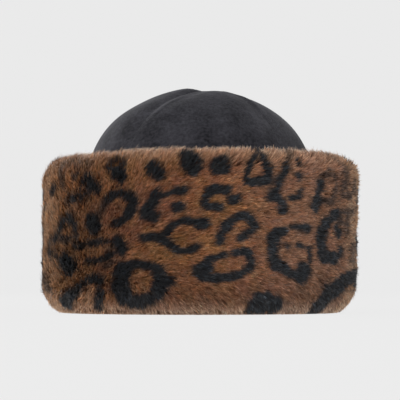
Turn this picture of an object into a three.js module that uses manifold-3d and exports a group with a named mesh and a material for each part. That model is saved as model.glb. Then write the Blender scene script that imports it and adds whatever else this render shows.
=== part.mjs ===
// A winter hat: a round crown sewn from four faux suede gores, and a deep faux fur cuff turned up
// round it from the rim. The hat stands on the cuff. Millimetres, +Z up, the front faces -Y, and the
// origin is on the surface that it stands on, under the middle of the crown.

import * as THREE from 'three';
import { mergeVertices } from 'three/addons/utils/BufferGeometryUtils.js';
import Module from 'manifold-3d';

const wasm = await Module();
wasm.setup();

// Driving dimensions
const HEAD_WIDTH = 170.8; // inside the crown, ear to ear
const HEAD_LENGTH = 191.8; // inside the crown, brow to nape, for a head of about 57 cm round
const SUEDE_WALL = 2; // faux suede and its backing
const SEAM_GAP = 0.3; // between pieces that are sewn or pressed together
const CROWN_TOP = 169.3; // of the round top, before its gores puff out
const DOME_HEIGHT = 77.5; // of the round top, above the upright wall
const RIM_HEIGHT = 6; // the crown's lower edge, which sits in the fold of the cuff
const CUFF_HEIGHT = 120; // to the tips of the pile, at the front
const CUFF_DEPTH = 32.6; // from the crown to the tips of the pile
const PILE_RELIEF = 3; // how far a lock's tip stands off the body of the fur

// Worked out from them
const HALF_WIDTH = HEAD_WIDTH / 2 + SUEDE_WALL;
const HALF_LENGTH = HEAD_LENGTH / 2 + SUEDE_WALL;
const ROUND = (HALF_WIDTH + HALF_LENGTH) / 2; // the crown is turned round at this radius, then made oval
const DOME_FOOT = CROWN_TOP - DOME_HEIGHT;

// A lathe profile's parts, in steps
const DOME_STEPS = 9;
const CROWN_SEGMENTS = 48;
const ARC_DIVISIONS = 2;

const fauxSuede = new THREE.MeshStandardMaterial({ color: 0x38373b, roughness: 0.95, metalness: 0 });
const fauxFur = new THREE.MeshStandardMaterial({ color: 0x6e4c38, roughness: 0.85, metalness: 0 });

// Solids

const MERGE = 1e-3; // vertices nearer than this are one

// A closed three.js geometry as a solid: shared vertices merged, faces that have no area dropped.
function solidOf(geometry) {
  const bare = new THREE.BufferGeometry();
  bare.setAttribute('position', geometry.getAttribute('position'));
  bare.setIndex(geometry.index);
  const merged = mergeVertices(bare, MERGE);
  const corners = merged.index.array;
  const triangles = [];
  for (let i = 0; i < corners.length; i += 3) {
    const [a, b, c] = corners.slice(i, i + 3);
    if (a !== b && b !== c && c !== a) triangles.push(a, b, c);
  }
  return new wasm.Manifold(
    new wasm.Mesh({
      numProp: 3,
      vertProperties: merged.attributes.position.array,
      triVerts: new Uint32Array(triangles),
    }),
  );
}

function geometryOf(solid) {
  const mesh = solid.getMesh();
  const geometry = new THREE.BufferGeometry();
  geometry.setAttribute('position', new THREE.BufferAttribute(mesh.vertProperties, 3));
  geometry.setIndex(new THREE.BufferAttribute(mesh.triVerts, 1));
  return geometry;
}

// Moves every vertex of a geometry to move(vertex).
function shaped(geometry, move) {
  const position = geometry.getAttribute('position');
  const vertex = new THREE.Vector3();
  for (let i = 0; i < position.count; i += 1) {
    move(vertex.fromBufferAttribute(position, i));
    position.setXYZ(i, vertex.x, vertex.y, vertex.z);
  }
  return geometry;
}

// A profile of (radius, height) points turned about Z.
function turned(points, segments) {
  return new THREE.LatheGeometry(points, segments).rotateX(Math.PI / 2);
}

function smoothstep(low, high, value) {
  return THREE.MathUtils.smoothstep(value, low, high);
}

const UPWARDS = new THREE.Vector3(0, 0, 1);

// The angle round the hat: 0 at the front, growing towards +X.
function angleRound(point) {
  return Math.atan2(point.x, -point.y);
}

// The crown

const GORES = [
  { name: 'crown_gore_front', middle: 0, puff: 1.3 },
  { name: 'crown_gore_right', middle: 90, puff: 3.4 },
  { name: 'crown_gore_back', middle: 180, puff: 1.3 },
  { name: 'crown_gore_left', middle: 270, puff: 5.2 },
];
const SEAM_TURN = THREE.MathUtils.degToRad(4); // how far round from the corners of the head the seams are
const SEAM_SINK = 3; // how deep the seams draw the crown in
const PUFF_START = DOME_FOOT + 4; // the seams draw in above the cuff's grip
const PUFF_FULL = DOME_FOOT + 60;
const PUFF_ROUNDNESS = 3.5; // the higher, the squarer a gore is between its seams
const APEX_SHIFT = 7; // the seams meet off centre, towards +X
const APEX_BEND = 8; // the higher, the nearer the top the crown leans over
const APEX_DIP = 12; // the radius in which a gore flattens into the point where the seams meet

// The wall of the whole crown before it is made oval: a closed profile turned round.
function crownWall() {
  const outer = new THREE.EllipseCurve(0, DOME_FOOT, ROUND, DOME_HEIGHT, 0, Math.PI / 2);
  const inner = new THREE.EllipseCurve(
    0, DOME_FOOT, ROUND - SUEDE_WALL, DOME_HEIGHT - SUEDE_WALL, 0, Math.PI / 2,
  );
  const upright = [RIM_HEIGHT, DOME_FOOT / 3, DOME_FOOT * 2 / 3];
  const outside = [
    ...upright.map((height) => new THREE.Vector2(ROUND, height)),
    ...outer.getPoints(DOME_STEPS),
  ];
  const inside = [
    ...upright.map((height) => new THREE.Vector2(ROUND - SUEDE_WALL, height)),
    ...inner.getPoints(DOME_STEPS),
  ];
  outside.at(-1).x = 0;
  inside.at(-1).x = 0;
  return solidOf(turned([...inside.reverse(), ...outside], CROWN_SEGMENTS));
}

// A quarter of space round one gore, held half a seam's gap inside its two seams.
function goreSpace(middle) {
  const reach = ROUND * 3;
  const corner = SEAM_GAP / 2 / Math.sin(Math.PI / 4);
  const quarter = new THREE.Shape([
    new THREE.Vector2(0, -corner),
    new THREE.Vector2(reach, -corner - reach),
    new THREE.Vector2(-reach, -corner - reach),
  ]);
  const space = new THREE.ExtrudeGeometry(quarter, { depth: CROWN_TOP * 2, bevelEnabled: false });
  return solidOf(space.rotateZ(THREE.MathUtils.degToRad(middle)));
}

// Makes a point of the turned crown oval, draws it in, and puffs the gore out between its seams.
function shapeGore(point, gore) {
  const middle = THREE.MathUtils.degToRad(gore.middle) + SEAM_TURN;
  point.applyAxisAngle(UPWARDS, SEAM_TURN);
  const radius = Math.hypot(point.x, point.y);
  const fromMiddle = Math.atan2(
    Math.sin(angleRound(point) - middle), Math.cos(angleRound(point) - middle),
  );
  const across = Math.min(1, Math.abs(fromMiddle) / (Math.PI / 4));
  const puff = gore.puff * (1 - across ** PUFF_ROUNDNESS) * smoothstep(0, APEX_DIP, radius);
  const lift = (puff - SEAM_SINK) * smoothstep(PUFF_START, PUFF_FULL, point.z);
  point.x *= HALF_WIDTH / ROUND;
  point.y *= HALF_LENGTH / ROUND;
  const up = Math.max(0, point.z - DOME_FOOT);
  const outward = new THREE.Vector3(
    point.x / HALF_WIDTH ** 2, point.y / HALF_LENGTH ** 2, up / DOME_HEIGHT ** 2,
  ).normalize();
  point.addScaledVector(outward, lift);
  point.x += APEX_SHIFT * (up / DOME_HEIGHT) ** APEX_BEND;
}

function goreMesh(wall, gore) {
  const cut = wall.intersect(goreSpace(gore.middle));
  const geometry = shaped(geometryOf(cut), (point) => shapeGore(point, gore));
  const mesh = new THREE.Mesh(geometry, fauxSuede);
  mesh.name = gore.name;
  return mesh;
}

// The cuff

const LIP = 1.5; // how far the fold reaches under the crown's wall before it rounds over
const LIP_RADIUS = (RIM_HEIGHT - SEAM_GAP) / 2;
const FOOT_RADIUS = 18;
const TOP_RADIUS = 15;
const POCKET_RADIUS = 9; // the rounded inner top edge, which the dome leaves clear
const POCKET_EDGE = 2.3; // how far the pocket's mouth starts from the crown
const POCKET_START = 98;
const BODY_DEPTH = CUFF_DEPTH - PILE_RELIEF; // of the fur under the tips of its locks
const BODY_TOP = CUFF_HEIGHT - PILE_RELIEF;
const FLARE = 1.5; // the wearer's right side spreads towards the foot
const FOOT_TUCK = 4.5; // how much rounder the foot is at both sides than at the front and back
const TUCK_HEIGHT = 24;
const SIDE_DIP = 2.5; // the top edge is lower at both sides than at the front and back
const TOP_SLOPE = 1.1; // and rises towards +X
const WAVES = [ // the soft waves of the face round the hat, each with its height and its number of crests
  { height: 0.5, crests: 3, turn: 1 },
  { height: 0.4, crests: 8, turn: 2 },
];

// The section is three stretches of (distance out from the crown, height): under the crown's rim and
// along the foot, up the outer face and over the top, and down the inner face back to the rim.
const underside = new THREE.Path();
underside.moveTo(SEAM_GAP, RIM_HEIGHT - SEAM_GAP);
underside.lineTo(-LIP, RIM_HEIGHT - SEAM_GAP);
underside.absarc(-LIP, LIP_RADIUS, LIP_RADIUS, Math.PI / 2, Math.PI * 3 / 2);

const outerFace = new THREE.Path();
outerFace.absarc(BODY_DEPTH - FOOT_RADIUS, FOOT_RADIUS, FOOT_RADIUS, -Math.PI / 2, 0);
outerFace.lineTo(BODY_DEPTH, BODY_TOP - TOP_RADIUS);
outerFace.absarc(BODY_DEPTH - TOP_RADIUS, BODY_TOP - TOP_RADIUS, TOP_RADIUS, 0, Math.PI / 2);
outerFace.lineTo(POCKET_EDGE + POCKET_RADIUS, BODY_TOP);

const innerFace = new THREE.Path();
innerFace.absarc(
  POCKET_EDGE + POCKET_RADIUS, BODY_TOP - POCKET_RADIUS, POCKET_RADIUS, Math.PI / 2, Math.PI,
);
innerFace.lineTo(SEAM_GAP, POCKET_START);
innerFace.lineTo(SEAM_GAP, RIM_HEIGHT - SEAM_GAP);

// The tiers of locks from the foot to the top edge: how far a lock's tip lies above its root, as the
// hair is brushed down at the foot, round towards the wearer's left, and up at the top edge.
const TIERS = [
  { rise: -8 },
  { rise: -9 },
  { rise: -5 },
  { rise: -1 },
  { rise: 1 },
  { rise: 4 },
  { rise: 8 },
  { rise: 7 },
];
const LOCKS_ROUND = 24; // in each tier
const LOCK_STEPS = 4; // lathe segments to a lock
const LOCK_REACH = 3.5; // how far a tip is drawn out over the root of the next lock
const CREASE = 0.25; // the share of a lock's lift that the crease beside it has
const SEGMENTS = LOCKS_ROUND * LOCK_STEPS;
const ROWS = 2 * TIERS.length + 1; // steps up the outer face

// The point of the turned cuff that lies this far round (radians), up the outer face and off it.
function onCuff(angle, up, off) {
  const share = THREE.MathUtils.clamp(up / outerFace.getLength(), 0, 1);
  const at = outerFace.getPointAt(share);
  const along = outerFace.getTangentAt(share);
  const radius = ROUND + at.x + along.y * off;
  return new THREE.Vector3(
    radius * Math.sin(angle), -radius * Math.cos(angle), Math.max(0, at.y - along.x * off),
  );
}

// The place of a lathe vertex on the outer face: a tier is a row of ridges with a row of creases
// above it, and a lock rises from its root to its tip, then drops to the root of the next.
function lockPoint(segment, row) {
  const tier = Math.floor((row - 1) / 2);
  const ridge = row % 2 === 1;
  const along = ((segment + 2 * tier) % LOCK_STEPS) / (LOCK_STEPS - 1);
  const angle = segment * 2 * Math.PI / SEGMENTS + along * LOCK_REACH / (ROUND + CUFF_DEPTH);
  const up = row * outerFace.getLength() / ROWS + along * TIERS[tier].rise;
  return onCuff(angle, up, PILE_RELIEF * along * (ridge ? 1 : CREASE));
}

// Makes a point of the turned cuff oval at the same depth, with its flare and its uneven edges.
function shapeCuff(point) {
  const angle = angleRound(point);
  const out = Math.hypot(point.x, point.y) - ROUND;
  const share = Math.max(0, out / CUFF_DEPTH);
  const side = Math.sin(angle) ** 2;
  const left = Math.sin(angle) < 0 ? side : 0;
  let wave = 0;
  for (const { height, crests, turn } of WAVES) wave += height * Math.sin(crests * angle + turn);
  const flare = FLARE * left * (1 - 2 * point.z / BODY_TOP);
  const tuck = FOOT_TUCK * side * (1 - smoothstep(0, TUCK_HEIGHT, point.z));
  const depth = out + share * (wave + flare - tuck);
  point.x = (HALF_WIDTH + depth) * Math.sin(angle);
  point.y = -(HALF_LENGTH + depth) * Math.cos(angle);
  const rise = TOP_SLOPE * Math.sin(angle) - SIDE_DIP * side;
  point.z += rise * smoothstep(0, BODY_TOP, point.z);
}

function cuffMesh() {
  const under = underside.getPoints(ARC_DIVISIONS);
  const section = [...under, ...outerFace.getSpacedPoints(ROWS), ...innerFace.getPoints(ARC_DIVISIONS)];
  const profile = section.map((p) => new THREE.Vector2(ROUND + p.x, p.y));
  const geometry = turned(profile, SEGMENTS);
  const position = geometry.getAttribute('position');
  for (let i = 0; i < position.count; i += 1) {
    const segment = Math.floor(i / profile.length) % SEGMENTS;
    const row = i % profile.length - under.length;
    if (row > 0 && row < ROWS) position.setXYZ(i, ...lockPoint(segment, row));
  }
  const fur = solidOf(shaped(geometry, shapeCuff));
  const mesh = new THREE.Mesh(geometryOf(fur), fauxFur);
  mesh.name = 'fur_cuff';
  return mesh;
}

// The hat

const hat = new THREE.Group();
const wall = crownWall();
for (const gore of GORES) hat.add(goreMesh(wall, gore));
hat.add(cuffMesh());

export default hat;
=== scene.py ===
# A winter hat with a faux suede crown and a deep leopard print faux fur cuff, dressed on its packed
# model. Metres, +Z up, the front faces -Y, and the origin is on the floor under the middle of the hat.

import math

import bmesh
import bpy
import numpy as np
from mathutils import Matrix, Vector


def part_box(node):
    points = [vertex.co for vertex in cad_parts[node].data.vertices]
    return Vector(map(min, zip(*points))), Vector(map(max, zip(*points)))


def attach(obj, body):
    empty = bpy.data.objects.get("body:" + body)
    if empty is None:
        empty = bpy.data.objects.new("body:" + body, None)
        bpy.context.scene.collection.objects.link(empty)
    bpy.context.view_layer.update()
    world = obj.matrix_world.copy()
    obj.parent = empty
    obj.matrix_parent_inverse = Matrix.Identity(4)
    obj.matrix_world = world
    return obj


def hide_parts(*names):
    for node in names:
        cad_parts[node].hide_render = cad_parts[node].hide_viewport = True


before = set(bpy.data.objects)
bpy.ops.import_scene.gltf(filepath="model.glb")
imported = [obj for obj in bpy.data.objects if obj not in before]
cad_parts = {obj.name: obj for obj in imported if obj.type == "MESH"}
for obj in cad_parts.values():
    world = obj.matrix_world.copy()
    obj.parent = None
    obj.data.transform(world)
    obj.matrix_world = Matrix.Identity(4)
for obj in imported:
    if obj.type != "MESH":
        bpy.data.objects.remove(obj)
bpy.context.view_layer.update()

# Crown
# Four gores of charcoal faux suede, sewn edge to edge with the seam allowances pressed to one side.
# Each starts as a flat grid that is bent over the head and puffed between its seams, then gets a wall.

HALF_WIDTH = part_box("crown_gore_right")[1].x
HALF_LENGTH = -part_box("crown_gore_front")[0].y
RIM_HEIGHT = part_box("crown_gore_front")[0].z
CROWN_TOP = 0.1693  # of the round top, before its gores puff out
DOME_HEIGHT = 0.0775
DOME_FOOT = CROWN_TOP - DOME_HEIGHT
SUEDE_WALL = 0.002
WALL_SHARE = 0.4  # of the grid's rows, for the upright wall under the dome
COLUMN_GATHER = 1.6  # the higher, the closer together a gore's columns are at its seams
GORE_COLUMNS = 56
GORE_ROWS = 72
SEAM_TURN = 4  # degrees, how far round from the corners of the head the seams are
SEAM_SINK = 0.003  # how deep the seams draw the crown in
SINK_START = DOME_FOOT + 0.004
SINK_FULL = DOME_FOOT + 0.060
PUFF_ROUNDNESS = 3.5  # the higher, the squarer a gore is between its seams
SEAM_DIP = 0.020  # the radius in which the seams' creases and ridges flatten out at the very top
DIP_BLEND = 4  # the higher, the nearer its seams a gore keeps its own dip
APEX_LIFT = 0.0015  # how much less the seams draw in the very top
APEX_SHIFT = 0.007
APEX_BEND = 8  # the higher, the nearer the top the crown leans over
ALLOWANCE_HEIGHT = 0.0006  # the ridge that the folded seam allowance raises beside the seam
ALLOWANCE_PLACE = 0.0045
ALLOWANCE_WIDTH = 0.0032
ALLOWANCE_SHOWS = (0.130, 0.158)  # the heights between which it comes to show through the cloth
SLACK = 0.0007  # the soft unevenness of the cloth between its seams
SLACK_START = 0.015  # how far from a seam it is full
# Each gore's middle in degrees round from the front, its puff, how far it is rounded over into each of
# its two seams, and the radius in which it flattens into the point where the seams meet.
GORES = {
    "front": {"middle": 0, "puff": 0.0013, "creases": (0.0016, 0.0030), "dip": 0.020},
    "right": {"middle": 90, "puff": 0.0046, "creases": (0.0030, 0.0016), "dip": 0.080},
    "back": {"middle": 180, "puff": 0.0013, "creases": (0.0016, 0.0016), "dip": 0.020},
    "left": {"middle": 270, "puff": 0.0052, "creases": (0.0016, 0.0016), "dip": 0.019},
}


def way_along(start, end, value):
    """How far the value is on its way from start to end: 0 before the start, and 1 past the end."""
    return np.clip((value - start) / (end - start), 0, 1)


def soft_step(start, end, value):
    """The same, but easing in and out."""
    share = way_along(start, end, value)
    return share * share * (3 - 2 * share)


def slack_at(point):
    """A gentle wave over the crown, about 1 from crest to zero."""
    wave = math.sin(61 * point.x + 2.1 * math.sin(44 * point.y + 0.7) + 1.3)
    cross = math.sin(83 * point.y - 1.7 * math.sin(57 * point.x) + 67 * point.z)
    return 0.6 * wave + 0.4 * cross


def gore_point(column, row, gore):
    """The place of a grid vertex, whose column and row run from -1 to 1, on a gore of the crown."""
    across = math.copysign(1 - (1 - abs(column)) ** COLUMN_GATHER, column)
    turn = math.radians(gore["middle"] + SEAM_TURN + 45 * across)
    climb = (row + 1) / 2
    if climb < WALL_SHARE:
        reach = 1
        height = RIM_HEIGHT + (DOME_FOOT - RIM_HEIGHT) * climb / WALL_SHARE
    else:
        arc = (climb - WALL_SHARE) / (1 - WALL_SHARE) * math.pi / 2
        reach = math.cos(arc)
        height = DOME_FOOT + DOME_HEIGHT * math.sin(arc)
    point = Vector((HALF_WIDTH * reach * math.sin(turn), -HALF_LENGTH * reach * math.cos(turn), height))
    above = max(0, height - DOME_FOOT)
    outward = Vector((point.x / HALF_WIDTH**2, point.y / HALF_LENGTH**2, above / DOME_HEIGHT**2)).normalized()
    radius = (HALF_WIDTH + HALF_LENGTH) / 2 * reach
    from_seam = (1 - abs(across)) * math.pi / 4 * radius
    crease = np.interp(across, (-1, 1), gore["creases"])
    puff = math.hypot(gore["puff"] * (1 - abs(across) ** PUFF_ROUNDNESS), crease)
    dip = gore["dip"] + (SEAM_DIP - gore["dip"]) * abs(across) ** DIP_BLEND
    puff *= soft_step(0, dip, radius)
    ridge = 0
    if across < 0:
        ridge = ALLOWANCE_HEIGHT * math.exp(-(((from_seam - ALLOWANCE_PLACE) / ALLOWANCE_WIDTH) ** 2))
        ridge *= soft_step(0, SEAM_DIP, radius) * soft_step(*ALLOWANCE_SHOWS, height)
    slack = SLACK * slack_at(point) * soft_step(0, SLACK_START, from_seam)
    sink = SEAM_SINK - APEX_LIFT * (1 - soft_step(0, SEAM_DIP, radius))
    lift = (puff + slack + ridge - sink) * soft_step(SINK_START, SINK_FULL, height)
    point += outward * lift
    point.x += APEX_SHIFT * (above / DOME_HEIGHT) ** APEX_BEND
    return point


def new_piece(name, mesh):
    piece = bpy.data.objects.new(name, mesh)
    bpy.context.scene.collection.objects.link(piece)
    return piece


def mesh_from(name, bm):
    mesh = bpy.data.meshes.new(name)
    bm.to_mesh(mesh)
    bm.free()
    mesh.shade_smooth()
    return mesh


def new_material(name):
    """A node material, with its nodes, its links and its Principled shader."""
    material = bpy.data.materials.new(name)
    material.use_nodes = True
    nodes = material.node_tree.nodes
    return material, nodes, material.node_tree.links, nodes["Principled BSDF"]


def add_noise(nodes, links, source, scale, detail, distortion=0.0):
    noise = nodes.new("ShaderNodeTexNoise")
    noise.inputs["Scale"].default_value = scale
    noise.inputs["Detail"].default_value = detail
    noise.inputs["Distortion"].default_value = distortion
    links.new(source, noise.inputs["Vector"])
    return noise.outputs["Fac"]


def add_ramp(nodes, links, source, stops):
    ramp = nodes.new("ShaderNodeValToRGB")
    for element, (place, color) in zip(ramp.color_ramp.elements, stops):
        element.position = place
        element.color = (*color, 1)
    links.new(source, ramp.inputs["Fac"])
    return ramp.outputs["Color"]


def add_bump(nodes, links, source, strength, distance, below=None):
    bump = nodes.new("ShaderNodeBump")
    bump.inputs["Strength"].default_value = strength
    bump.inputs["Distance"].default_value = distance
    links.new(source, bump.inputs["Height"])
    if below:
        links.new(below, bump.inputs["Normal"])
    return bump.outputs["Normal"]


def suede_material(name, dark, light):
    """Brushed nap: broad soft patches where it lies another way, a fine mottle, and a bump of fibres."""
    material, nodes, links, shader = new_material(name)
    place = nodes.new("ShaderNodeTexCoord").outputs["Object"]
    patches = add_noise(nodes, links, place, scale=48, detail=4, distortion=0.6)
    mottle = add_noise(nodes, links, place, scale=450, detail=4)
    fibres = add_noise(nodes, links, place, scale=1500, detail=3)
    blend = nodes.new("ShaderNodeMix")
    blend.inputs["Factor"].default_value = 0.45
    links.new(patches, blend.inputs["A"])
    links.new(mottle, blend.inputs["B"])
    color = add_ramp(nodes, links, blend.outputs["Result"], ((0.38, dark), (0.64, light)))
    links.new(color, shader.inputs["Base Color"])
    shader.inputs["Roughness"].default_value = 0.95
    shader.inputs["Specular IOR Level"].default_value = 0.15
    shader.inputs["Sheen Weight"].default_value = 0.14
    shader.inputs["Sheen Roughness"].default_value = 0.45
    shader.inputs["Sheen Tint"].default_value = (0.75, 0.75, 0.8, 1)
    coarse = add_bump(nodes, links, patches, strength=0.25, distance=0.002)
    fine = add_bump(nodes, links, fibres, strength=0.5, distance=0.0004, below=coarse)
    links.new(fine, shader.inputs["Normal"])
    return material


suede = suede_material("charcoal suede", (0.0105, 0.0103, 0.0135), (0.0475, 0.0463, 0.0555))

for side, gore in GORES.items():
    bm = bmesh.new()
    bmesh.ops.create_grid(bm, x_segments=GORE_COLUMNS, y_segments=GORE_ROWS, size=1)
    for vert in bm.verts:
        vert.co = gore_point(vert.co.x, vert.co.y, gore)
    bmesh.ops.remove_doubles(bm, verts=bm.verts, dist=1e-6)
    bmesh.ops.recalc_face_normals(bm, faces=bm.faces)
    if sum(face.normal.dot(face.calc_center_median()) for face in bm.faces) < 0:
        bmesh.ops.reverse_faces(bm, faces=bm.faces)
    piece = new_piece("suede_gore_" + side, mesh_from("suede_gore_" + side, bm))
    wall = piece.modifiers.new("wall", "SOLIDIFY")
    wall.thickness = SUEDE_WALL
    wall.offset = -1
    piece.data.materials.append(suede)
    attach(piece, "root")
    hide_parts("crown_gore_" + side)

# Cuff backing
# The knitted backing of the faux fur with its dense underfur, turned up from the rim and folded in at
# the top edge. The section is spun round, then made oval, and is coloured with the print's own colours,
# darkened as painted shade under the pile.

CUFF_TOP = 0.117  # of the body of the fur at the front, without its tips
CUFF_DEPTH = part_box("fur_cuff")[1].x - HALF_WIDTH
BODY_DEPTH = CUFF_DEPTH - 0.003
RIM_CLEARANCE = 0.0003
LIP = 0.0015
LIP_RADIUS = (RIM_HEIGHT - RIM_CLEARANCE) / 2
FOOT_RADIUS = 0.018
TOP_RADIUS = 0.015
POCKET_RADIUS = 0.009
POCKET_EDGE = 0.0023
POCKET_START = 0.098
FLARE = 0.0015  # how far the foot leans out, and the top in, on the wearer's right
FOOT_TUCK = 0.0045  # how much rounder the foot is at both sides than at the front and back
TUCK_HEIGHT = 0.024
SIDE_DIP = 0.0025  # the top edge is lower at both sides than at the front and back
TOP_SLOPE = 0.0011  # and rises towards +X
CUFF_WAVES = ((0.0005, 3, 1), (0.0004, 8, 2))  # how uneven its depth is: metres, times round and phase
BACKING_OFF = -0.0028  # the underfur's surface, under the tips of the pile
BACKING_SUNK = 0.004  # the distance out from the rim by which it has sunk that far
FLOOR_CLEARANCE = 0.0003
SPIN_STEPS = 176


def stretch(start, end, count=12):
    """Section points along a straight line, without its last: distance out and height."""
    return [tuple(np.array(start) + (np.array(end) - np.array(start)) * i / count) for i in range(count)]


def arc(centre, radius, start, end, count=16):
    """Section points round an arc between two angles in degrees, without its last."""
    turns = [math.radians(start + (end - start) * i / count) for i in range(count)]
    return [(centre[0] + radius * math.cos(t), centre[1] + radius * math.sin(t)) for t in turns]


# The furred face, from the foot's inner edge round to the pocket between the cuff and the crown.
foot_centre = (BODY_DEPTH - FOOT_RADIUS, FOOT_RADIUS)
top_centre = (BODY_DEPTH - TOP_RADIUS, CUFF_TOP - TOP_RADIUS)
pocket_centre = (POCKET_EDGE + POCKET_RADIUS, CUFF_TOP - POCKET_RADIUS)
furred = np.array(
    stretch((-LIP, 0), (foot_centre[0], 0))
    + arc(foot_centre, FOOT_RADIUS, -90, 0)
    + stretch((BODY_DEPTH, FOOT_RADIUS), (BODY_DEPTH, top_centre[1]), 24)
    + arc(top_centre, TOP_RADIUS, 0, 90)
    + stretch((top_centre[0], CUFF_TOP), (pocket_centre[0], CUFF_TOP), 3)
    + arc(pocket_centre, POCKET_RADIUS, 90, 180)
    + stretch((POCKET_EDGE, pocket_centre[1]), (RIM_CLEARANCE, POCKET_START), 8)
    + [(RIM_CLEARANCE, POCKET_START)]
)
steps = np.hypot(*np.diff(furred, axis=0).T)
along_face = np.concatenate(([0], np.cumsum(steps))) - (foot_centre[0] + LIP)  # 0 where the foot turns up
tangent = np.gradient(furred, along_face, axis=0)
tangent /= np.hypot(*tangent.T)[:, None]
off_face = np.stack((tangent[:, 1], -tangent[:, 0]), axis=1)
FACE_END = along_face[-1]


def cuff_oval(angle, out, height):
    """The turned cuff's point at this angle, distance from the crown and height, made oval."""
    share = np.maximum(0, out / CUFF_DEPTH)
    side = np.sin(angle) ** 2
    wave = sum(size * np.sin(times * angle + phase) for size, times, phase in CUFF_WAVES)
    flare = FLARE * np.where(np.sin(angle) < 0, side, 0) * (1 - 2 * height / CUFF_TOP)
    tuck = FOOT_TUCK * side * (1 - soft_step(0, TUCK_HEIGHT, height))
    depth = out + share * (wave + flare - tuck)
    rise = (TOP_SLOPE * np.sin(angle) - SIDE_DIP * side) * soft_step(0, CUFF_TOP, height)
    x = (HALF_WIDTH + depth) * np.sin(angle)
    y = -(HALF_LENGTH + depth) * np.cos(angle)
    return np.stack((x, y, np.maximum(FLOOR_CLEARANCE, height + rise)), axis=-1)


def on_cuff(angle, up, off):
    """Points of the cuff at these angles, distances up the furred face and distances off it."""
    out = np.interp(up, along_face, furred[:, 0]) + off * np.interp(up, along_face, off_face[:, 0])
    height = np.interp(up, along_face, furred[:, 1]) + off * np.interp(up, along_face, off_face[:, 1])
    return cuff_oval(angle, out, height)


# Print
# Black rosettes, rings and spots on brown. Each mark is a stroke of the dyer's brush: its breadth, and
# the points along its middle as they show from the front, in squares of a chart 400 squares across.

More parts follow.
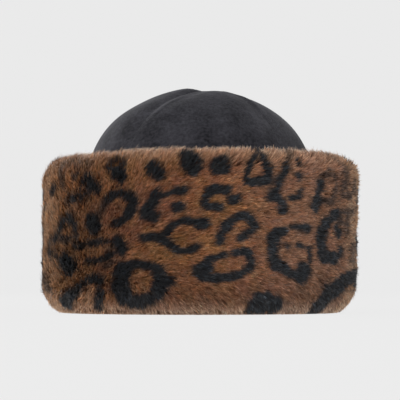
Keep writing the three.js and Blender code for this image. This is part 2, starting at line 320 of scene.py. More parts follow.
CHART_MIDDLE = 199.7
CHART_EYE_LEVEL = 269.6
EYE_HEIGHT = 0.033
EYE_DISTANCE = 2.371
SQUARES_PER_METRE = 1316  # at the middle of the hat
SEEN_OFF = 0.0015  # how far off the cuff's body the hair is seen
CHART_TURN = 1.5  # radians, the farthest round that the front shows
CHART_FOOT = 0.003  # metres up the face, the lowest and the highest that it shows
CHART_TOP = 0.134
CHART_ROUNDS = 30  # of closing in on a square's place
LEAST_TURNED = 0.25  # the least share of its breadth that the cloth is taken to show while closing in
LEAST_SEEN = (0.3, 0.35)  # and of its breadth and its height when a stroke is drawn
MARKS = (
    # left edge, from the top down
    (4, (77, 175), (73, 179)),
    (3, (86.5, 168), (86.5, 172)),
    (6, (55, 186), (52, 192)),
    (6, (65, 218), (60, 226), (56, 235)),
    (7, (67, 217), (74, 225), (76, 233)),
    (4, (60, 237), (70, 237.5)),
    (5, (49, 240.5), (56, 238)),
    (6, (49, 251), (54, 254)),
    # upper left
    (15, (88, 181), (93, 187)),
    (9, (83, 194), (72, 198)),
    (12, (112, 164.5), (121, 164)),
    (15, (117, 167), (119, 174)),
    (9, (120, 176), (121, 180)),
    (17, (154, 168.5), (158, 173)),
    (18, (187, 156), (194, 164)),
    (8, (107, 198), (115, 193), (126, 193)),
    (11, (126, 194), (133, 199), (133, 207), (128, 214)),
    (7, (128, 215), (121, 221), (114, 224)),
    (16, (92, 221), (94, 227)),
    (8, (178, 191), (185, 189)),
    (4, (165, 195), (175, 191)),
    (12, (157, 194), (152, 203), (147, 212)),
    (12, (144, 214.5), (154, 216)),
    (10, (175, 207.5), (180, 207.5)),
    # middle left
    (9, (142, 238), (150, 237), (162, 238)),
    (7, (163, 237), (168, 230), (175, 224), (185, 220.5), (197, 221)),
    (12, (199, 225), (204, 223)),
    (9, (164, 241), (171, 244.5), (178, 251)),
    (5, (178, 251.5), (189, 251)),
    (7, (189, 250.5), (197, 247)),
    (7, (75, 246), (90, 243), (108, 241)),
    (15, (117, 242), (121, 247)),
    # lower left
    (18, (65, 260), (68, 267)),
    (5, (87, 260.5), (97, 260.5), (107, 257), (113, 252)),
    (10, (87, 280), (99, 279)),
    (7, (86, 280), (77, 287), (73, 294)),
    (13, (69, 297), (65, 305)),
    (8, (99, 292), (98, 310)),
    # the big ring low in the middle
    (18, (122, 272), (120, 284), (124, 297)),
    (14, (124, 300), (135, 303), (150, 300)),
    (16, (158, 272), (163, 281), (157, 293)),
    (9, (124, 266), (138, 264.5), (152, 266.5)),
    (10, (165, 280), (172, 281)),
    # upper right
    (15, (218, 166), (225, 165.5)),
    (11, (258, 153), (264, 162), (268, 172), (267, 180)),
    (5, (255, 157), (250, 165), (248, 174)),
    (9, (247, 180), (257, 181.5), (266, 181)),
    (8, (286, 165), (281, 177), (277, 187)),
    (9, (276, 190), (271, 197)),
    (10, (276, 196), (281, 201), (282, 209)),
    (4, (298, 161), (298, 165)),
    (6, (298, 175), (298, 180)),
    (5, (300, 190), (299, 196)),
    (6, (292, 197.5), (299, 197)),
    (9, (228, 189), (214, 189), (208, 193), (205, 201)),
    (7, (204, 205), (211, 206.5), (221, 206.5)),
    (9, (232, 199), (238, 198)),
    # middle right
    (10, (220, 240), (224, 230), (229, 224)),
    (6, (229, 224), (235, 219)),
    (8, (236, 217), (247, 216)),
    (10, (250, 220), (255, 226)),
    (8, (254, 229), (247, 235)),
    (6, (246, 236), (239, 240)),
    (5, (292, 227), (300, 227)),
    (8, (303, 227), (308, 229)),
    (8, (285, 231), (276, 232)),
    (13, (274, 236), (273, 250), (275, 262)),
    (11, (275, 264), (285, 270)),
    (8, (285, 271), (294, 275)),
    (17, (303, 271), (301, 275)),
    (5, (309.5, 248), (309.5, 262)),
    (5, (286.5, 245), (286.5, 247)),
    (6, (298, 245), (301, 246)),
    # lower right
    (14, (199, 271), (207, 268)),
    (7, (203, 264), (213, 258), (226, 254)),
    (7, (234, 252), (247, 252)),
    (10, (249, 254), (252, 261), (250, 268)),
    (8, (249, 269), (238, 275), (226, 277)),
    (8, (226, 277), (212, 278), (200, 277)),
    (14, (257, 301), (266, 300)),
    (17, (253, 310), (274, 309)),
    # right edge, from the top down
    (8, (319.5, 184), (318, 195)),
    (12, (317, 199), (316, 206)),
    (9, (336, 213), (327, 221)),
    (10, (327, 221), (322, 231)),
    (12, (322, 231), (321, 244), (323, 256)),
    (12, (324, 258), (336, 258)),
    (6, (340, 249), (340, 256)),
    (7, (337, 228), (339, 234)),
    (13, (357, 275), (349, 278), (342, 283)),
    (17, (342, 284), (332, 292)),
    (19, (330, 294), (323, 303), (317, 311)),
)
# Fainter smudges between the marks, in the same squares.
SMUDGES = (
    (4, (66, 163), (79, 162), (91, 164)),
    (6, (62, 166), (61, 176), (62, 186)),
    (10, (68, 200), (84, 195)),
    (9, (106, 200), (101, 210), (96, 217)),
    (7, (60, 227), (53, 237)),
    (6, (61, 218), (70, 215)),
    (7, (50, 242), (60, 240)),
    (7, (64, 240), (76, 244)),
    (6, (109, 252), (112, 246)),
    (5, (105, 267), (112, 262)),
    (6, (79, 288), (74, 295)),
    (8, (43, 277), (47, 289)),
    (7, (129, 214), (118, 224)),
    (7, (288, 152), (286.5, 163)),
    (8, (321, 155), (328, 157)),
    (6, (320, 180), (322, 175), (328, 172), (334, 177)),
    (5.5, (335, 179), (336, 188), (334, 198)),
    (8, (323, 201), (332, 201)),
    (7, (344, 168), (344, 182)),
    (7, (342.5, 183), (343, 194), (350, 196)),
    (6, (353, 181), (353, 191)),
    (7, (345, 212), (351, 211)),
    (6, (347.5, 213), (347, 233)),
    (6, (340, 213), (340, 224)),
    (8, (352.5, 247), (352.5, 260)),
    (4, (356, 236), (356, 241)),
    (7, (276, 176), (270, 190)),
    (9, (296, 226), (305, 230)),
)
# Paler patches of the brown, in the same squares.
PALE_PATCHES = (
    (13, (266, 151), (280, 152)),
    (9, (206, 151), (246, 150)),
    (9, (136, 151), (176, 149)),
    (10, (50, 262), (52, 276)),
    (9, (52, 200), (48, 222)),
    (10, (90, 292), (88, 302)),
)
# Marks at the hat's side, which the front doesn't show: breadth, then degrees round and metres up.
SIDE_MARKS = (
    (0.008, (80, 0.030), (85, 0.036), (91, 0.034), (93, 0.026)),
    (0.009, (94, 0.050), (88, 0.054), (84, 0.064), (87, 0.074)),
    (0.007, (87, 0.074), (93, 0.078), (97, 0.071), (97, 0.062)),
    (0.006, (90, 0.063), (92, 0.065)),
    (0.007, (82, 0.092), (86, 0.101), (92, 0.103)),
    (0.006, (97, 0.090), (98, 0.096)),
    (0.007, (80, 0.126), (84, 0.130)),
    (0.007, (92, 0.126), (97, 0.131)),
)
PRINT_RADIUS = (HALF_WIDTH + HALF_LENGTH) / 2 + CUFF_DEPTH
PRINT_FADE = 0.0014  # over which a mark fades into the brown
SMUDGE_FADE = 0.0020
SMUDGE_INK = 0.80
PALE_FADE = 0.0050
RAGGED = ((0.0012, 0.0045, 11),)  # how far the edge of a mark wanders, over which length, and the seed
SOAK = 0.0006  # how far the dye soaks out past the brush
DAB_REACH = 0.04  # how near the middle of a dab a place has to be for the dab to be looked at
CLOUD_ROWS = 128
CLOUD_COLUMNS = 1024
CLOUD_START = 32  # the row of the clouds' table that lies at the turn of the foot


def from_chart(x, y):
    """Where a chart square is on the cuff: degrees round from the front, and metres up its face."""
    turn, up = 0.0, 0.05
    for _ in range(CHART_ROUNDS):
        spot = on_cuff(turn, up, SEEN_OFF)
        scale = SQUARES_PER_METRE * EYE_DISTANCE / (EYE_DISTANCE + spot[1])
        squares_per_radian = scale * (HALF_WIDTH + CUFF_DEPTH) * max(LEAST_TURNED, math.cos(turn))
        turn += (x - CHART_MIDDLE - scale * spot[0]) / squares_per_radian
        turn = max(-CHART_TURN, min(CHART_TURN, turn))
        up += EYE_HEIGHT + (CHART_EYE_LEVEL - y) / scale - spot[2]
        up = max(CHART_FOOT, min(CHART_TOP, up))
    return math.degrees(turn), up


def as_seen(path):
    """How much of its breadth and height the cloth shows to the front where this path of spots is."""
    turn, up = np.mean(path, axis=0)
    across = math.cos(math.radians(turn))
    upright = np.interp(up, along_face, tangent[:, 1])
    return max(LEAST_SEEN[0], across), max(LEAST_SEEN[1], upright)


def cloud_table(seed):
    return np.random.default_rng(seed).uniform(-1, 1, (CLOUD_ROWS, CLOUD_COLUMNS))


def cloud(angle, up, size, seed):
    """Smooth noise from -1 to 1 over the cuff, with patches of this size, that closes round the hat."""
    table = cloud_table(seed)
    cells = round(2 * math.pi * PRINT_RADIUS / size)
    across = (angle / (2 * math.pi) % 1) * cells
    climb = up / size + CLOUD_START
    i, j = np.floor(across).astype(int), np.floor(climb).astype(int)
    u, v = across - i, climb - j
    u, v = u * u * (3 - 2 * u), v * v * (3 - 2 * v)
    i, after = i % cells, (i + 1) % cells
    below, above = j % CLOUD_ROWS, (j + 1) % CLOUD_ROWS
    low = table[below, i] * (1 - u) + table[below, after] * u
    high = table[above, i] * (1 - u) + table[above, after] * u
    return low * (1 - v) + high * v


def clouds(angle, up, layers):
    """Layers of that noise added up, each with its strength, its size and its seed."""
    return sum(strength * cloud(angle, up, size, seed) for strength, size, seed in layers)


def charted(strokes):
    """The strokes of a chart as straight dabs: breadth, start and run in metres, and how they are seen."""
    dabs = []
    for width, *path in strokes:
        spots = [from_chart(*spot) for spot in path]
        for spot, following in zip(spots[:-1], spots[1:]):
            seen = np.array(as_seen((spot, following)))
            dabs.append((width / SQUARES_PER_METRE, *run_between(spot, following), seen))
    return dabs


def run_between(spot, following):
    start, end = (np.array((math.radians(turn) * PRINT_RADIUS, up)) for turn, up in (spot, following))
    return start, end - start


side_dabs = [
    (width, *run_between(spot, following), np.ones(2))
    for width, *path in SIDE_MARKS
    for spot, following in zip(path[:-1], path[1:])
]
mark_dabs = charted(MARKS) + side_dabs
smudge_dabs = charted(SMUDGES)
pale_dabs = charted(PALE_PATCHES)


def inked(dabs, fade, angle, up):
    """How much ink there is at these places, from 0 to 1. The print repeats twice round the cuff."""
    around = (angle + math.pi / 2) % math.pi - math.pi / 2  # each half of the cuff has the same marks
    nearest = np.full(angle.shape, 1.0)
    for width, start, run, seen in dabs:
        line = run * seen
        for shift in (0, -math.pi):
            x = (around - shift) * PRINT_RADIUS - start[0]
            y = up - start[1]
            close = (np.abs(x - run[0] / 2) < DAB_REACH) & (np.abs(y - run[1] / 2) < DAB_REACH)
            x, y = x[close] * seen[0], y[close] * seen[1]
            share = np.clip((x * line[0] + y * line[1]) / line.dot(line), 0, 1)
            gap = np.hypot(x - share * line[0], y - share * line[1]) - width / 2
            nearest[close] = np.minimum(nearest[close], gap - SOAK)
    return 1 - soft_step(-fade, fade, nearest + clouds(angle, up, RAGGED))


def blackness(angle, up):
    marks = inked(mark_dabs, PRINT_FADE, angle, up)
    return np.maximum(marks, SMUDGE_INK * inked(smudge_dabs, SMUDGE_FADE, angle, up))


BROWN = np.array((0.250, 0.101, 0.044))
RED_BROWN = np.array((0.222, 0.082, 0.045))
GOLD_BROWN = np.array((0.268, 0.117, 0.042))
ASH_BROWN = np.array((0.212, 0.114, 0.078))
SAND = np.array((0.360, 0.218, 0.132))
BLACK = np.array((0.0175, 0.0170, 0.0180))
BLACK_SHINE = np.array((0.060, 0.070, 0.082))  # a painted highlight on the tips of some black hairs
UNDERFUR_SHADE = 0.55  # how light the underfur is beside the print, darkened as painted shade under the pile
BROWN_CLOUDS = ((1.0, 0.030, 5), (0.9, 0.006, 7))  # where the brown is redder or more golden
LIGHT_CLOUDS = ((0.16, 0.011, 6), (0.10, 0.004, 8))  # where it is lighter or darker
# The colour changes round the hat, partly as dye and partly as painted light and shade. Where a pair goes
# with the sine of the angle round, 1 is the wearer's left and -1 the right. Where it goes with the height,
# it is in metres up the face.
ASH_SIDE = (0.05, 0.75)  # the brown turns ashy towards the wearer's left
ASH_SHARE = 0.75
LOW = (0.018, 0.052)  # painted shade: it is darker low down
LOW_SHADE = 0.42
LOW_PALE_SIDE = (0.5, 0.8)  # but the painted shade gives way towards the wearer's right, where it is a little paler there
LOW_PALE_SHARE = 1.3
GOLD_SIDE = (0.5, 0.9)  # it turns golden towards the wearer's right
GOLD_SHARE = 0.7
HIGH = (0.092, 0.122)  # painted light: it is lighter high up
HIGH_LIGHT = 0.30
SIDE_LIGHT = 0.17  # and, as painted light, lighter on the wearer's left than on the right
PAINTED_RIM_SIDES = (0.90, 0.98)  # painted rim light: it turns to sand at both sides
PAINTED_RIM_SHARE = 0.8
PAINTED_RIM_SLANT = 0.15  # more so on the wearer's left
PALE_SHARE = 0.4  # how much sand there is in a pale patch
BLACK_LIFT_SIDE = (0.3, 0.8)  # the black is lighter on the wearer's left
BLACK_LIFT = 0.6


def mixed(dye_and_painted_light, other, share):
    return dye_and_painted_light + (other - dye_and_painted_light) * share[:, None]


def dyed_with_painted_light(angle, up):
    """The fur's colour at these places of the cuff: the print's dye, with painted shade and painted light."""
    side = np.sin(angle)
    drift = clouds(angle, up, BROWN_CLOUDS)
    red = np.clip(drift, 0, 1)[:, None]
    gold = np.clip(-drift, 0, 1)[:, None]
    brown = BROWN + (RED_BROWN - BROWN) * red + (GOLD_BROWN - BROWN) * gold
    brown = mixed(brown, ASH_BROWN, ASH_SHARE * soft_step(*ASH_SIDE, side))
    # Painted shade: the brown darkens low down, less so towards the wearer's right, where it turns a little
    # paler.
    low = (1 - soft_step(*LOW, up)) * (1 - LOW_PALE_SHARE * soft_step(*LOW_PALE_SIDE, -side))
    brown = brown * (1 - LOW_SHADE * low)[:, None]
    brown = mixed(brown, GOLD_BROWN, GOLD_SHARE * soft_step(*GOLD_SIDE, -side))
    # Painted light: the brown is lighter high up and on the wearer's left.
    brown = brown * (1 + HIGH_LIGHT * soft_step(*HIGH, up) + SIDE_LIGHT * side)[:, None]
    # Painted rim light: the brown turns to sand at both sides.
    brown = mixed(brown, SAND, (PAINTED_RIM_SHARE + PAINTED_RIM_SLANT * side) * soft_step(*PAINTED_RIM_SIDES, np.abs(side)))
    brown = brown * (1 + clouds(angle, up, LIGHT_CLOUDS))[:, None]
    brown = mixed(brown, SAND, PALE_SHARE * inked(pale_dabs, PALE_FADE, angle, up))
    black = blackness(angle, up)[:, None]
    lifted = (1 + BLACK_LIFT * soft_step(*BLACK_LIFT_SIDE, side))[:, None]
    return brown * (1 - black) + BLACK * lifted * black


def paint(mesh, colors):
    """Stores one colour for each vertex, dye and painted light, which the fur's material reads."""
    attribute = mesh.color_attributes.new("dye_and_painted_light", "FLOAT_COLOR", "POINT")
    rgba = np.ones((len(colors), 4), np.float32)
    rgba[:, :3] = np.clip(colors, 0, 1)
    attribute.data.foreach_set("color", rgba.ravel())


def fur_material(name, roughness, specular):
    material, nodes, links, shader = new_material(name)
    dye_and_painted_light = nodes.new("ShaderNodeVertexColor")
    dye_and_painted_light.layer_name = "dye_and_painted_light"
    links.new(dye_and_painted_light.outputs["Color"], shader.inputs["Base Color"])
    shader.inputs["Roughness"].default_value = roughness
    shader.inputs["Specular IOR Level"].default_value = specular
    return material, nodes, links, shader


# The backing itself, in the print's colours.
underfur, nodes, links, shader = fur_material("underfur", 0.95, 0.2)
place = nodes.new("ShaderNodeTexCoord").outputs["Object"]
tufts = add_noise(nodes, links, place, scale=900, detail=3)
links.new(add_bump(nodes, links, tufts, strength=0.8, distance=0.001), shader.inputs["Normal"])

inner_face = stretch((RIM_CLEARANCE, POCKET_START), (RIM_CLEARANCE, RIM_HEIGHT - RIM_CLEARANCE), 6)
lip = stretch((RIM_CLEARANCE, RIM_HEIGHT - RIM_CLEARANCE), (-LIP, RIM_HEIGHT - RIM_CLEARANCE), 1)
lip += arc((-LIP, LIP_RADIUS), LIP_RADIUS, 90, 270, 8)
sunk = furred + off_face * BACKING_OFF * soft_step(-LIP, BACKING_SUNK, furred[:, 0])[:, None]
section = [tuple(p) for p in sunk[:-1]] + inner_face + lip

bm = bmesh.new()
ring = [bm.verts.new((out + PRINT_RADIUS, 0, height)) for out, height in section]
edges = [bm.edges.new((a, b)) for a, b in zip(ring, ring[1:] + ring[:1])]
bmesh.ops.spin(
    bm, geom=ring + edges, cent=(0, 0, 0), axis=(0, 0, 1), angle=2 * math.pi, steps=SPIN_STEPS, use_merge=True
)
bmesh.ops.remove_doubles(bm, verts=bm.verts, dist=1e-6)
turned = np.array([vert.co for vert in bm.verts])
angles = np.arctan2(turned[:, 0], -turned[:, 1])
outs = np.hypot(turned[:, 0], turned[:, 1]) - PRINT_RADIUS
for vert, spot in zip(bm.verts, cuff_oval(angles, outs, turned[:, 2])):
    vert.co = spot
bmesh.ops.recalc_face_normals(bm, faces=bm.faces)
backing = new_piece("cuff_backing", mesh_from("cuff_backing", bm))
backing.data.materials.append(underfur)
foot_end = FOOT_RADIUS * math.pi / 2
top_end = along_face[furred[:, 1].argmax()]
ups = np.interp(turned[:, 2], (0, FOOT_RADIUS, CUFF_TOP), (0, foot_end, top_end))
# The underfur is the print's colour darkened as painted shade under the pile.
paint(backing.data, dyed_with_painted_light(angles, ups) * UNDERFUR_SHADE)
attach(backing, "root")
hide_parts("fur_cuff")

# Pile
# The straight hair of the faux fur, in locks of a few tapered strands that lie together. It is brushed
# round the cuff towards the wearer's left, down and under at the foot, and up and over at the top edge.
# On the wearer's right it is brushed up above and down below, and stands upright between the two.

LIE_ABOVE = (  # metres up the face, and which way the upper hair lies there: degrees up from level
    (0.030, -14),
    (0.049, -10),
    (0.060, -4),
    (0.083, 3),
    (0.104, 7),
    (0.117, 9),
    (0.124, 22),
    (0.129, 46),
    (0.136, 70),
    (0.170, 88),
)
LIE_BELOW = (  # the same for the lower hair
    (-0.013, -88),
    (0.000, -72),
    (0.014, -54),
    (0.026, -42),
    (0.060, -26),
)
TURNOVER = (0.015, 0.042)  # metres up the face, between which the lower hair gives way to the upper
TURNOVER_SCATTER = 0.005
SIDE_LIFT = 85  # degrees that the upper hair turns upwards, towards the wearer's right
LIFT_TURN = (35, -65)  # degrees round, between which it does so
LIFT_TOP = (0.112, 0.130)  # metres up the face, between which it stops doing so
SIDE_FALL = -80  # how far the lower hair turns down and back there
FALL_TURN = (-8, -45)
FALL_FOOT = (-0.004, 0.012)  # metres up the face, between which it starts doing so
SIDE_END = (95, 160)  # degrees round past the front, between which both die out towards the back
STANDING = 0.55  # how much of its flatness the hair loses before that side, where it stands every way
STANDING_START = (0.35, 0.60)  # sines of the angle round, between which it comes to stand
STANDING_END = (0.85, 0.95)  # and between which it lies down again
HAIR_LENGTH = (  # metres up the face, and how far the hair there reaches along it
    (-0.013, 0.004),
    (0.000, 0.0050),
    (0.014, 0.0060),
    (0.104, 0.0060),
    (0.116, 0.0046),
    (0.124, 0.0052),
    (0.134, 0.0060),
    (0.142, 0.006),
    (0.152, 0.005),
    (0.170, 0.004),
)
LENGTH_SPREAD = (0.75, 1.2)  # the shares of that length between which single hairs are
UPRIGHT_REACH = 0.6  # the share of it for hair that stands upright
TIP_OFF = (  # metres up the face, and how far the tips stand off it there
    (-0.013, 0.0),
    (0.000, 0.0010),
    (0.014, 0.0016),
    (0.095, 0.0022),
    (0.112, 0.0028),
    (0.122, 0.0038),
    (0.134, 0.0038),
    (0.144, 0.0020),
    (0.152, 0.0008),
    (0.170, 0.0),
)
OFF_WAVES = ((0.4, 0.009, 23),)  # how much more or less in patches: share, size and seed
OFF_SPREAD = (-0.4, 0.35)  # and from lock to lock
OFF_UNEVEN = 0.15  # and from hair to hair
FRINGE_UNEVEN = 0.35  # and how much more than that in the fringe
HAIRS_IN_LOCK = 6
LOCK_LENGTH = 0.0022  # over which the roots of a lock's hairs are strung out
LOCK_BREADTH = 0.0007
LOCK_GATHER = 0.5  # the share of its breadth that a lock loses by its tip
LOCK_TURN = 9  # degrees by which locks differ in how they lie
LOCK_SWAYS = ((7, 0.016, 21), (6, 0.006, 22))  # and by which patches of them do: degrees, size and seed
LEAST_FLAT = 0.12  # keeps standing hair from turning without end
LOCK_BEND = 0.10
LOCK_TONE = 0.34  # how much locks differ in lightness
STANDING_CONTRAST = 0.5  # the share of that in hair that stands upright
CONTRAST_RISE = 1.4  # the higher, the sooner lying hair has all of it
LOCK_WARMTH = 0.10  # and in how red they are
HAIR_TURN = 4  # degrees by which the hairs of a lock differ
HAIR_TONE = (1.02, 0.28)  # the middle and the spread of their lightness beside the lock's
HAIR_TONE_LIMITS = (0.45, 1.8)
FRINGE = (0.106, 0.120)  # metres up the face, between which the pile turns finer and more even
FRINGE_CALM = 0.4  # how much less the locks differ there
EDGE_START = (0.113, 0.127)  # metres up the face, where the top edge, paler with painted light, begins and ends
EDGE_END = (0.142, 0.152)
FOOT_END = (0.010, 0.026)  # metres up the face, between which the paler foot ends
TOP_INSET = 0.020  # how much nearer the hat's middle the face is at its inner end than at the side
TOP_START = 0.118  # metres up the face, where it starts to turn in
STRAY_SHARE = 0.04
STRAY_TURN = 22
STRAY_OFF = 0.0022
STRAY_START = (0.0, 0.01)  # metres up the face, between which strays start and end
STRAY_END = (0.138, 0.148)
HAIR_BREADTH = 0.00032
BREADTH_SPREAD = (0.7, 1.3)
HAIR_TWIST = 0.5  # radians
HAIR_CLEARANCE = 0.0002  # of the floor
LEAST_LENGTH = 1e-12  # keeps a division from failing
MIDDLE_PLACE = 0.55  # the shares of a hair's length at which its middle and its tip take up the dye
TIP_PLACE = 0.95
DYE_DRIFT = 0.0010  # how far brushing carries the print along with the hair
HAIR_DRIFT = 0.6  # the share of that by which the hairs of a lock differ
SIDE_HAZE = 0.7  # how much farther it does in the standing hair on the wearer's right
HAZE_SIDE = (0.35, 0.8)  # sines of the angle round, between which that hair starts
# The hair's lightness at its root, middle and tip; the dark roots are painted shade deep in the pile.
ROOT_TONE = 0.28
MIDDLE_TONE = 0.85
TIP_TONE = 1.50
EDGE_ROOT = 0.3  # how much lighter roots and middles are at the top edge and the foot, with less painted shade there
EDGE_MIDDLE = 0.2
EDGE_TAN = 0.25  # how far middles turn tan there
BROWN_FROM = (0.02, 0.12)  # the red in the dye of a black tip, and of one that is wholly brown
TAN_SHARES = (0.02, 0.40, 0.45)  # of tan in every brown tip, in a bleached one, and at the edges
TAN_LIMIT = 0.8
CREAM_START = (0.124, 0.132)  # metres up the face, between which tips turn creamy, a painted highlight along the top edge
CREAM_SHARE = 0.75
FOOT_CREAM = 0.6  # the share of that at the foot
SHINE_SHARES = (0.12, 0.58)  # of painted highlight in every black tip, and in a bleached one
SHINE_SIDE = (-0.3, 0.2)  # sines of the angle round, between which the painted highlight gains towards the wearer's left
SHINE_GAIN = 0.6  # from this share to twice this
TIP_TAN = np.array((0.480, 0.300, 0.190))  # of hair that has bleached at its tips
TIP_CREAM = np.array((0.560, 0.440, 0.355))  # of the long hair's tips along the top edge, a painted highlight, and at the foot
PILE = {  # the first and last degree round, first and last metre up the face, and the number of locks
    "front_left": (-45, 0, 0.016, 0.116, 11000),
    "front_right": (0, 45, 0.016, 0.116, 11000),
    "right": (45, 135, 0.016, 0.116, 11000),
    "back": (135, 225, 0.016, 0.116, 7400),
    "left": (225, 315, 0.016, 0.116, 11000),
    "fringe": (-70, 70, 0.116, FACE_END, 7600),
    "top": (70, 290, 0.116, FACE_END, 7000),
    "foot": (0, 360, along_face[0], 0.016, 5600),
}


def table_at(table, up):
    places, values = zip(*table)
    return np.interp(up, places, values)


def lie_at(angle, up, scatter):
    """Which way the hair lies at these places, in radians up from level, and how flat: 0 is upright."""
    turn = np.degrees(np.arctan2(np.sin(angle), np.cos(angle)))
    side = 1 - soft_step(*SIDE_END, -turn)
    lift = SIDE_LIFT * way_along(*LIFT_TURN, turn) ** 2 * (1 - soft_step(*LIFT_TOP, up))
    fall = SIDE_FALL * way_along(*FALL_TURN, turn) ** 0.8 * soft_step(*FALL_FOOT, up)
    above = np.radians(table_at(LIE_ABOVE, up) + side * lift)
    below = np.radians(table_at(LIE_BELOW, up) + side * fall)
    share = soft_step(*TURNOVER, up + TURNOVER_SCATTER * scatter)
    forward = share * np.cos(above) + (1 - share) * np.cos(below)
    climb = share * np.sin(above) + (1 - share) * np.sin(below)
    right = -np.sin(angle)
    standing = soft_step(*STANDING_START, right) * (1 - soft_step(*STANDING_END, right))
    return np.arctan2(climb, forward), np.hypot(forward, climb) * (1 - STANDING * standing)


def unit(vectors):
    return vectors / (np.linalg.norm(vectors, axis=1)[:, None] + LEAST_LENGTH)


def per_hair(values):
    """The values of the locks, once for each of their hairs."""
    return values.repeat(HAIRS_IN_LOCK)


def hair_colors(rng, angle, up, lie, tone, warmth, reach, along):
    """The colours of each hair's root, middle and tip: the print's, carried along, with painted shade at the
    root, and paler at the tip.
    """
    count = len(angle)
    locks = count // HAIRS_IN_LOCK
    tone = tone * rng.normal(*HAIR_TONE, count).clip(*HAIR_TONE_LIMITS)
    warm = np.stack((warmth, 0 * warmth, -warmth), axis=1)
    foot = 1 - soft_step(*FOOT_END, up)
    # The top edge, paler with painted light, and the paler foot.
    edge = soft_step(*EDGE_START, up) * (1 - soft_step(*EDGE_END, up)) + foot
    hazy = 1 + SIDE_HAZE * soft_step(*HAZE_SIDE, -np.sin(angle))
    drift = hazy * DYE_DRIFT * (per_hair(rng.normal(0, 1, locks)) + HAIR_DRIFT * rng.normal(0, 1, count))
    drift_turn = drift * np.cos(lie) / reach
    drift_up = drift * np.sin(lie)
    middle_turn, middle_up, _ = along(MIDDLE_PLACE)
    tip_turn, tip_up, _ = along(TIP_PLACE)
    middle_dye_and_painted_light = dyed_with_painted_light(middle_turn + drift_turn, middle_up + drift_up) * (1 + warm)
    tip_dye_and_painted_light = dyed_with_painted_light(tip_turn + drift_turn, tip_up + drift_up) * (1 + warm)
    brown = soft_step(*BROWN_FROM, tip_dye_and_painted_light[:, 0])
    bleach = per_hair(rng.uniform(0, 1, locks)) ** 2
    tan = (TAN_SHARES[0] + TAN_SHARES[1] * bleach + TAN_SHARES[2] * edge).clip(0, TAN_LIMIT) * brown
    # Painted highlight: creamy tips along the top edge; creamy tips at the foot as well.
    high = soft_step(*CREAM_START, up) * (1 - soft_step(*EDGE_END, up))
    cream = CREAM_SHARE * brown * (high + FOOT_CREAM * foot)
    # Painted highlight: a bluish shine on the tips of black hairs, stronger on the wearer's left.
    gain = SHINE_GAIN + SHINE_GAIN * soft_step(*SHINE_SIDE, np.sin(angle))
    shine = (SHINE_SHARES[0] + SHINE_SHARES[1] * bleach) * (1 - brown) * gain
    tip_dye_and_painted_light = mixed(mixed(tip_dye_and_painted_light, BLACK_SHINE, shine), TIP_TAN, tan)
    # Painted shade: the roots are darkened.
    root_color = middle_dye_and_painted_light * ((ROOT_TONE + EDGE_ROOT * edge) * tone)[:, None]
    middle_tone = (MIDDLE_TONE + EDGE_MIDDLE * edge) * tone
    middle_color = mixed(middle_dye_and_painted_light, TIP_TAN, EDGE_TAN * edge * brown) * middle_tone[:, None]
    tip_color = mixed(tip_dye_and_painted_light, TIP_CREAM, cream) * (TIP_TONE * tone)[:, None]
    return np.stack((root_color, middle_color, middle_color, tip_color), axis=1)


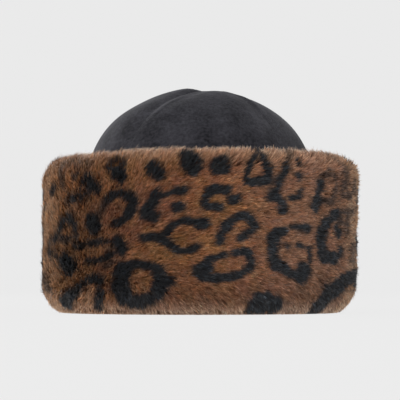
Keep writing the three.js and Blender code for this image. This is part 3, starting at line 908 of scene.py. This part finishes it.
def hair_mesh(name, first, last, low, high, locks, seed):
    """Hair for one region of the cuff, as separate slivers of two triangles each."""
    rng = np.random.default_rng(seed)
    lock_angle = np.radians(rng.uniform(first, last, locks))
    lock_up = rng.uniform(low, high, locks)
    lock_lie, lock_flat = lie_at(lock_angle, lock_up, rng.normal(0, 1, locks))
    lively = 1 - FRINGE_CALM * soft_step(*FRINGE, lock_up)
    lock_lie += np.radians(rng.normal(0, LOCK_TURN, locks)) * lively / (LEAST_FLAT + lock_flat)
    lock_lie += np.radians(clouds(lock_angle, lock_up, LOCK_SWAYS)) * lively
    lock_off = table_at(TIP_OFF, lock_up) * (1 + lively * clouds(lock_angle, lock_up, OFF_WAVES))
    lock_off *= 1 + lively * rng.uniform(*OFF_SPREAD, locks)
    uneven = per_hair(OFF_UNEVEN + FRINGE_UNEVEN * soft_step(*FRINGE, lock_up))
    lock_bend = rng.normal(0, LOCK_BEND, locks)
    lying = np.minimum(1, CONTRAST_RISE * lock_flat)
    lock_contrast = STANDING_CONTRAST + (1 - STANDING_CONTRAST) * lying
    lock_tone = np.exp(rng.normal(0, LOCK_TONE, locks) * lively * lock_contrast)
    lock_warmth = rng.normal(0, LOCK_WARMTH, locks)

    count = locks * HAIRS_IN_LOCK
    fore = rng.uniform(-LOCK_LENGTH / 2, LOCK_LENGTH / 2, count)
    side = rng.normal(0, LOCK_BREADTH / 2, count)
    stray = rng.random(count) < STRAY_SHARE
    angle, up, lie, flat = map(per_hair, (lock_angle, lock_up, lock_lie, lock_flat))
    off, bend, tone, warmth = map(per_hair, (lock_off, lock_bend, lock_tone, lock_warmth))
    reach = PRINT_RADIUS - TOP_INSET * soft_step(TOP_START, FACE_END, up)
    angle = angle + (fore * np.cos(lie) - side * np.sin(lie)) / reach
    up = np.clip(up + fore * np.sin(lie) + side * np.cos(lie), along_face[0], FACE_END)
    lie = lie + np.radians(rng.normal(0, np.where(stray, STRAY_TURN, HAIR_TURN), count))
    length = table_at(HAIR_LENGTH, up) * (UPRIGHT_REACH + (1 - UPRIGHT_REACH) * flat)
    length = length * rng.uniform(*LENGTH_SPREAD, count)
    off = off * (1 + uneven * rng.uniform(-1, 1, count))
    free = soft_step(*STRAY_START, up) * (1 - soft_step(*STRAY_END, up))
    off += stray * STRAY_OFF * rng.random(count) * free

    def along(share):
        """Points this share of the way along every hair."""
        forward = length * share
        sway = bend * length * share**2 - side * LOCK_GATHER * share
        turn = angle + (forward * np.cos(lie) - sway * np.sin(lie)) / reach
        climb = up + forward * np.sin(lie) + sway * np.cos(lie)
        height = BACKING_OFF + (off - BACKING_OFF) * (1 - (1 - share) ** 2)
        return turn, np.clip(climb, along_face[0], FACE_END), height

    root, middle, tip = (on_cuff(*along(share)) for share in (0.0, 0.5, 1.0))
    outward = unit(on_cuff(angle, up, 0.001) - on_cuff(angle, up, 0.0))
    lead = unit(tip - root)
    across = unit(np.cross(lead, outward))
    twist = rng.normal(0, HAIR_TWIST, count)[:, None]
    across = across * np.cos(twist) + np.cross(across, lead) * np.sin(twist)
    half = (HAIR_BREADTH / 2 * rng.uniform(*BREADTH_SPREAD, count))[:, None] * across
    verts = np.stack((root, middle - half, middle + half, tip), axis=1)
    verts[..., 2] = np.maximum(verts[..., 2], HAIR_CLEARANCE)
    colors = hair_colors(rng, angle, up, lie, tone, warmth, reach, along)

    mesh = bpy.data.meshes.new(name)
    first_vertex = np.arange(count)[:, None] * 4
    corners = (first_vertex + np.array((0, 2, 1, 1, 2, 3))).astype(np.int32)
    mesh.vertices.add(count * 4)
    mesh.vertices.foreach_set("co", verts.astype(np.float32).ravel())
    mesh.loops.add(count * 6)
    mesh.loops.foreach_set("vertex_index", corners.ravel())
    mesh.polygons.add(count * 2)
    mesh.polygons.foreach_set("loop_start", np.arange(0, count * 6, 3, dtype=np.int32))
    mesh.update(calc_edges=True)
    mesh.shade_smooth()
    paint(mesh, colors.reshape(-1, 3))
    return mesh


pile = fur_material("pile", 0.55, 0.15)[0]
for order, (region, bounds) in enumerate(PILE.items()):
    piece = new_piece("fur_" + region, hair_mesh("fur_" + region, *bounds, seed=100 + order))
    piece.data.materials.append(pile)
    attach(piece, "root")
    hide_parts("fur_cuff")

# Studio
# A pale seamless backdrop that glows evenly, soft light from all round, strongest from large softboxes
# above the front left and low behind the left, and the camera straight in front, a little above the floor.

BACKDROP_GLOW = 0.80607
BACKDROP_HALF = 6.0
BACKDROP_FRONT = 30.0
BACKDROP_BACK = 5.0
BACKDROP_HEIGHT = 4.0
BACKDROP_BEND = 1.2

bm = bmesh.new()
profile = [(-BACKDROP_FRONT, 0.0)] + [
    (BACKDROP_BACK - BACKDROP_BEND + BACKDROP_BEND * math.sin(t), BACKDROP_BEND * (1 - math.cos(t)))
    for t in np.linspace(0, math.pi / 2, 13)
]
profile.append((BACKDROP_BACK, BACKDROP_HEIGHT))
line = [bm.verts.new((-BACKDROP_HALF, y, z)) for y, z in profile]
rails = [bm.edges.new((a, b)) for a, b in zip(line[:-1], line[1:])]
extruded = bmesh.ops.extrude_edge_only(bm, edges=rails)["geom"]
moved = [part for part in extruded if isinstance(part, bmesh.types.BMVert)]
bmesh.ops.translate(bm, verts=moved, vec=(2 * BACKDROP_HALF, 0, 0))
bmesh.ops.recalc_face_normals(bm, faces=bm.faces)
backdrop = new_piece("backdrop", mesh_from("backdrop", bm))
paper, nodes, links, shader = new_material("backdrop paper")
shader.inputs["Base Color"].default_value = (0.03, 0.03, 0.03, 1)
shader.inputs["Roughness"].default_value = 1.0
shader.inputs["Specular IOR Level"].default_value = 0.0
shader.inputs["Emission Color"].default_value = (1, 1, 1, 1)
shader.inputs["Emission Strength"].default_value = BACKDROP_GLOW
backdrop.data.materials.append(paper)


def add_softbox(name, place, target, size, power):
    light = bpy.data.lights.new(name, "AREA")
    light.shape = "DISK"
    light.size = size
    light.energy = power
    lamp = bpy.data.objects.new(name, light)
    lamp.location = place
    lamp.rotation_euler = (Vector(target) - Vector(place)).to_track_quat("-Z", "Y").to_euler()
    bpy.context.scene.collection.objects.link(lamp)
    return lamp


HAT_MIDDLE = (0, 0, 0.08)
add_softbox("softbox front left", (-1.1, -1.9, 1.6), HAT_MIDDLE, 1.4, 30)
add_softbox("softbox front right", (1.0, -2.0, 1.0), HAT_MIDDLE, 1.4, 5)
add_softbox("softbox behind left", (-1.35, 1.15, 0.4), HAT_MIDDLE, 1.0, 21)
add_softbox("softbox behind right", (1.35, 1.15, 0.4), HAT_MIDDLE, 1.0, 4)
add_softbox("softbox above", (0, 0.3, 2.2), HAT_MIDDLE, 1.6, 3)
world = bpy.data.worlds.new("studio air")
world.use_nodes = True
sky = world.node_tree.nodes["Background"]
sky.inputs["Color"].default_value = (1, 1, 1, 1)
sky.inputs["Strength"].default_value = 0.35
bpy.context.scene.world = world
bpy.context.scene.view_settings.view_transform = "Standard"

AIM = (0, 0, 0.0859)
lens = bpy.data.cameras.new("camera")
lens.lens = 280.8
lens.sensor_width = 36
lens.clip_end = 50
camera = bpy.data.objects.new("camera", lens)
camera.location = (0, -EYE_DISTANCE, EYE_HEIGHT)
camera.rotation_euler = (Vector(AIM) - camera.location).to_track_quat("-Z", "Y").to_euler()
bpy.context.scene.collection.objects.link(camera)
bpy.context.scene.camera = camera
